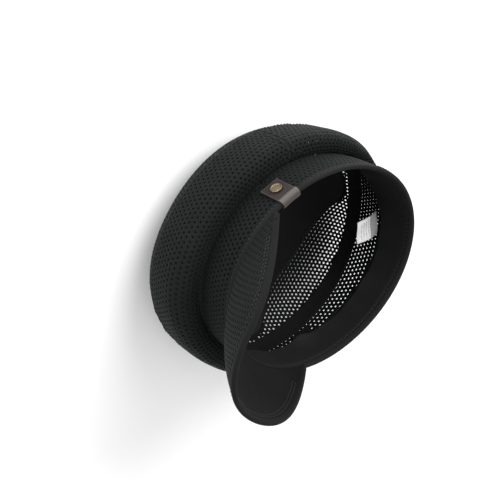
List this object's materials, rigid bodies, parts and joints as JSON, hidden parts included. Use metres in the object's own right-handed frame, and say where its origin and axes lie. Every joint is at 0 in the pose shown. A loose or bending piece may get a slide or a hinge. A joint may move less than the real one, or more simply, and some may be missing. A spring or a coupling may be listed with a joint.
{
  "type": "mesh peaked cap",
  "caption": "Soft mesh peaked cap lying upside down on its crown, with a curved visor, a leather side tab with a rivet, and a care label inside.",
  "frame": {"origin": "on the crown's resting face, under the middle of the head opening", "axes": "+Z out of the head opening; -Y to the front, where the visor is; -X to the wearer's left, where the leather tab is. The cap is stored upside down."},
  "size_m": [0.2092, 0.2556, 0.1646],
  "materials": {
    "mesh_cloth": "matte black open mesh",
    "lining_cloth": "smooth black lining cloth",
    "tape_cloth": "matte black woven tape",
    "sweatband_cloth": "black twill",
    "twill_cloth": "black fine rib",
    "black_thread": "black sewing thread",
    "visor_board": "matte stiffener",
    "tab_leather": "dark brown smooth leather",
    "antique_brass": "antique brass",
    "label_ribbon": "white satin ribbon"
  },
  "bodies": {
    "cap": {"top_panel": "mesh_cloth", "side_panel_front": "mesh_cloth", "side_panel_back": "mesh_cloth", "crown_lining": "lining_cloth", "crown_seam_tape": "tape_cloth", "side_seam_tape_left": "tape_cloth", "side_seam_tape_right": "tape_cloth", "band_front": "mesh_cloth", "band_back": "mesh_cloth", "sweatband": "sweatband_cloth", "rim_thread": "black_thread", "visor_board": "visor_board", "visor_top_cover": "mesh_cloth", "visor_under_cover": "twill_cloth", "visor_edge_binding": "tape_cloth", "visor_thread_1": "black_thread", "visor_thread_2": "black_thread", "side_tab": "tab_leather", "tab_thread": "black_thread", "rivet_cap": "antique_brass", "rivet_post": "antique_brass"},
    "label": {"care_label": "label_ribbon"}
  },
  "joints": [
    {"name": "label_flap", "type": "hinge", "parent": "cap", "child": "label", "pos_m": [0.01597, 0.09484, 0.0638], "axis": [-0.9911, 0.1329, 0], "range_deg": [-78, 68]}
  ]
}
